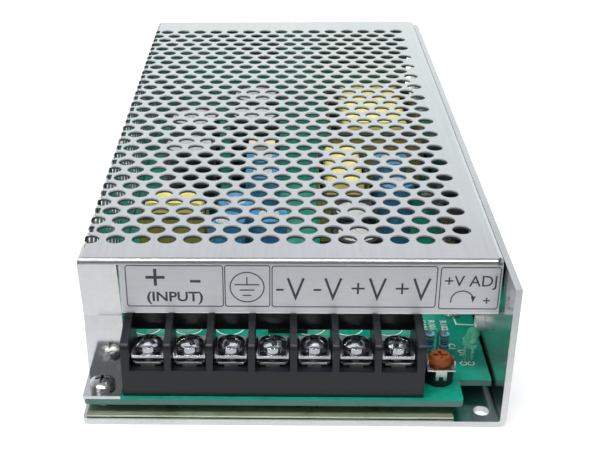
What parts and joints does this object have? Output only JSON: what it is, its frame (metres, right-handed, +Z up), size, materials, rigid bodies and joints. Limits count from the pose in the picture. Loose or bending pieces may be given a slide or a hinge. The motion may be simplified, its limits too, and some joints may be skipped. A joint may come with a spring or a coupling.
{
  "type": "enclosed power converter",
  "caption": "Flat enclosed power converter: perforated steel cover on a folded aluminium chassis, open front with a screw terminal block, trimmer and indicator",
  "frame": {"origin": "centre of the footprint on the underside of the chassis floor", "axes": "+Z up out of the cover top, -Y towards the terminal block, +Y along the length to the rear wall, +X towards the chassis side wall"},
  "size_m": [0.098, 0.199, 0.038],
  "materials": {
    "chassis_aluminium": "folded sheet, natural finish",
    "cover_steel": "bright zinc plated sheet",
    "insulating_film": "pale translucent film",
    "board_green": "glossy green solder mask",
    "plated_steel": "bright plated fastener",
    "block_black": "fine satin moulded plastic",
    "tinned_contact": "tin plated brass strip",
    "nickel_screw": "nickel plated",
    "trimmer_black": "moulded plastic",
    "rotor_brown": "orange brown moulded plastic",
    "led_green": "green diffused epoxy",
    "tinned_lead": "tinned wire",
    "resistor_blue": "blue lacquer",
    "ferrite": "dark grey ferrite",
    "yellow_tape": "yellow polyester tape",
    "can_aluminium": "drawn can",
    "sleeve_black": "shrink sleeve",
    "sleeve_blue": "shrink sleeve",
    "transistor_black": "moulded epoxy",
    "pad_grey": "thermal pad",
    "film_cream": "dipped coating",
    "fuse_glass": "clear tube",
    "fuse_metal": "plated caps and clips"
  },
  "bodies": {
    "case": {"base_chassis": "chassis_aluminium", "top_cover": "cover_steel", "insulating_sheet": "insulating_film", "circuit_board": "board_green", "board_pillars": "plated_steel", "board_screws": "plated_steel", "foot_screw": "plated_steel", "foot_nut": "plated_steel", "cover_screws": "plated_steel", "terminal_housing": "block_black", "terminal_contacts": "tinned_contact", "trimmer_base": "trimmer_black", "trimmer_strap": "plated_steel", "led_lens": "led_green", "led_leads": "tinned_lead", "resistor_bodies": "resistor_blue", "resistor_leads": "tinned_lead", "transformer_core": "ferrite", "transformer_winding": "yellow_tape", "choke_core": "ferrite", "choke_winding": "yellow_tape", "filter_core": "ferrite", "filter_winding": "yellow_tape", "capacitor_cans": "can_aluminium", "black_sleeves": "sleeve_black", "blue_sleeves": "sleeve_blue", "power_transistors": "transistor_black", "transistor_pad": "pad_grey", "clamp_bar": "plated_steel", "clamp_screws": "plated_steel", "film_capacitor": "film_cream", "fuse_tube": "fuse_glass", "fuse_caps": "fuse_metal", "control_chip": "transistor_black"},
    "rotor": {"trimmer_rotor": "rotor_brown"},
    "clamp_1": {"clamp_washer_1": "nickel_screw"},
    "screw_1": {"terminal_screw_1": "nickel_screw"},
    "clamp_2": {"clamp_washer_2": "nickel_screw"},
    "screw_2": {"terminal_screw_2": "nickel_screw"},
    "clamp_3": {"clamp_washer_3": "nickel_screw"},
    "screw_3": {"terminal_screw_3": "nickel_screw"},
    "clamp_4": {"clamp_washer_4": "nickel_screw"},
    "screw_4": {"terminal_screw_4": "nickel_screw"},
    "clamp_5": {"clamp_washer_5": "nickel_screw"},
    "screw_5": {"terminal_screw_5": "nickel_screw"},
    "clamp_6": {"clamp_washer_6": "nickel_screw"},
    "screw_6": {"terminal_screw_6": "nickel_screw"},
    "clamp_7": {"clamp_washer_7": "nickel_screw"},
    "screw_7": {"terminal_screw_7": "nickel_screw"}
  },
  "joints": [
    {"name": "trimmer_turn", "type": "hinge", "parent": "case", "child": "rotor", "pos_m": [0.0344, -0.0891, 0.0111], "axis": [0, 0, 1], "range_deg": [-105, 105]},
    {"name": "clamp_1_lift", "type": "slide", "parent": "case", "child": "clamp_1", "axis": [0, 0, 1], "range_m": [-0.00098, 0.0021]},
    {"name": "screw_1_turn", "type": "hinge", "parent": "clamp_1", "child": "screw_1", "pos_m": [-0.0335, -0.0911, 0.01742], "axis": [0, 0, 1], "range_deg": [-505, 1081]},
    {"name": "clamp_2_lift", "type": "slide", "parent": "case", "child": "clamp_2", "axis": [0, 0, 1], "range_m": [-0.00098, 0.0021]},
    {"name": "screw_2_turn", "type": "hinge", "parent": "clamp_2", "child": "screw_2", "pos_m": [-0.0239, -0.0911, 0.01742], "axis": [0, 0, 1], "range_deg": [-505, 1081]},
    {"name": "clamp_3_lift", "type": "slide", "parent": "case", "child": "clamp_3", "axis": [0, 0, 1], "range_m": [-0.00098, 0.0021]},
    {"name": "screw_3_turn", "type": "hinge", "parent": "clamp_3", "child": "screw_3", "pos_m": [-0.0143, -0.0911, 0.01742], "axis": [0, 0, 1], "range_deg": [-505, 1081]},
    {"name": "clamp_4_lift", "type": "slide", "parent": "case", "child": "clamp_4", "axis": [0, 0, 1], "range_m": [-0.00098, 0.0021]},
    {"name": "screw_4_turn", "type": "hinge", "parent": "clamp_4", "child": "screw_4", "pos_m": [-0.0047, -0.0911, 0.01742], "axis": [0, 0, 1], "range_deg": [-505, 1081]},
    {"name": "clamp_5_lift", "type": "slide", "parent": "case", "child": "clamp_5", "axis": [0, 0, 1], "range_m": [-0.00098, 0.0021]},
    {"name": "screw_5_turn", "type": "hinge", "parent": "clamp_5", "child": "screw_5", "pos_m": [0.0049, -0.0911, 0.01742], "axis": [0, 0, 1], "range_deg": [-505, 1081]},
    {"name": "clamp_6_lift", "type": "slide", "parent": "case", "child": "clamp_6", "axis": [0, 0, 1], "range_m": [-0.00098, 0.0021]},
    {"name": "screw_6_turn", "type": "hinge", "parent": "clamp_6", "child": "screw_6", "pos_m": [0.0145, -0.0911, 0.01742], "axis": [0, 0, 1], "range_deg": [-505, 1081]},
    {"name": "clamp_7_lift", "type": "slide", "parent": "case", "child": "clamp_7", "axis": [0, 0, 1], "range_m": [-0.00098, 0.0021]},
    {"name": "screw_7_turn", "type": "hinge", "parent": "clamp_7", "child": "screw_7", "pos_m": [0.0241, -0.0911, 0.01742], "axis": [0, 0, 1], "range_deg": [-505, 1081]}
  ],
  "couplings": [
    {"joint": "screw_1_turn", "follows": "clamp_1_lift", "rad_per_m": 8976},
    {"joint": "screw_2_turn", "follows": "clamp_2_lift", "rad_per_m": 8976},
    {"joint": "screw_3_turn", "follows": "clamp_3_lift", "rad_per_m": 8976},
    {"joint": "screw_4_turn", "follows": "clamp_4_lift", "rad_per_m": 8976},
    {"joint": "screw_5_turn", "follows": "clamp_5_lift", "rad_per_m": 8976},
    {"joint": "screw_6_turn", "follows": "clamp_6_lift", "rad_per_m": 8976},
    {"joint": "screw_7_turn", "follows": "clamp_7_lift", "rad_per_m": 8976}
  ]
}
